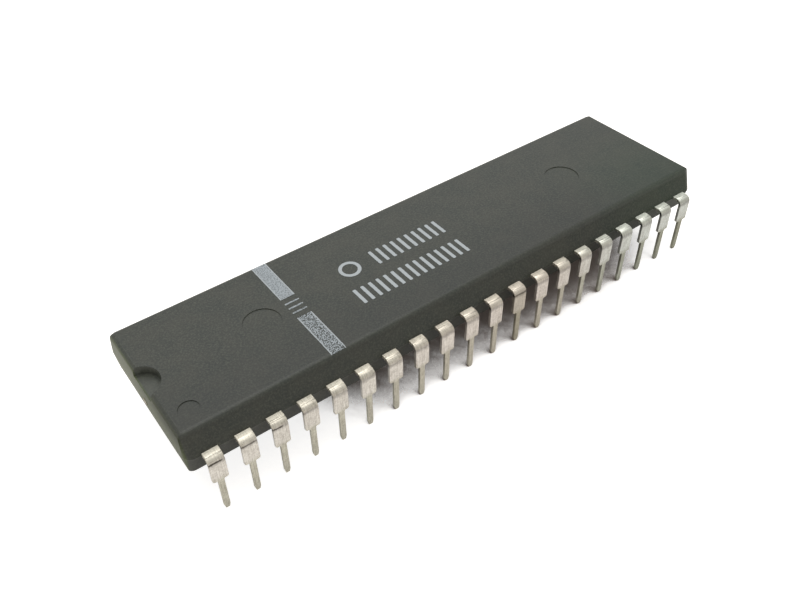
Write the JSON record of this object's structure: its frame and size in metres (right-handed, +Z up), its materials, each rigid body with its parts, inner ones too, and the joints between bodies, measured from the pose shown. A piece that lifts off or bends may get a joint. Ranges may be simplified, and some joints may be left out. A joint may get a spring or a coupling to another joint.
{
  "type": "dual in-line integrated circuit",
  "caption": "Moulded dual in-line integrated circuit: a dark drafted body with an end notch and a pale stripe, and a row of tinned through-hole leads along each long side.",
  "frame": {"origin": "middle of the footprint, on the plane of the lead tips", "axes": "+X along the body, away from the notched end; +Y across the body, away from the row with pin 1; +Z up, away from the board"},
  "size_m": [0.052, 0.0154, 0.0077],
  "materials": {
    "moulding_epoxy": "moulded epoxy, matt, dark grey",
    "tinned_lead": "tin plate over the strip, satin, warm grey",
    "frame_metal": "rolled strip, satin",
    "die_attach_epoxy": "silver-filled epoxy, matt",
    "silicon": "polished silicon",
    "gold_wire": "drawn gold wire",
    "marking_ink": "pad-printed ink, matt, pale blue-grey"
  },
  "bodies": {
    "root": {"body": "moulding_epoxy", "die_pad": "frame_metal", "die_attach": "die_attach_epoxy", "die": "silicon", "bond_wires": "gold_wire", "ink_marking": "marking_ink", "pin_01": "tinned_lead", "pin_02": "tinned_lead", "pin_03": "tinned_lead", "pin_04": "tinned_lead", "pin_05": "tinned_lead", "pin_06": "tinned_lead", "pin_07": "tinned_lead", "pin_08": "tinned_lead", "pin_09": "tinned_lead", "pin_10": "tinned_lead", "pin_11": "tinned_lead", "pin_12": "tinned_lead", "pin_13": "tinned_lead", "pin_14": "tinned_lead", "pin_15": "tinned_lead", "pin_16": "tinned_lead", "pin_17": "tinned_lead", "pin_18": "tinned_lead", "pin_19": "tinned_lead", "pin_20": "tinned_lead", "pin_21": "tinned_lead", "pin_22": "tinned_lead", "pin_23": "tinned_lead", "pin_24": "tinned_lead", "pin_25": "tinned_lead", "pin_26": "tinned_lead", "pin_27": "tinned_lead", "pin_28": "tinned_lead", "pin_29": "tinned_lead", "pin_30": "tinned_lead", "pin_31": "tinned_lead", "pin_32": "tinned_lead", "pin_33": "tinned_lead", "pin_34": "tinned_lead", "pin_35": "tinned_lead", "pin_36": "tinned_lead", "pin_37": "tinned_lead", "pin_38": "tinned_lead", "pin_39": "tinned_lead", "pin_40": "tinned_lead"}
  },
  "joints": []
}
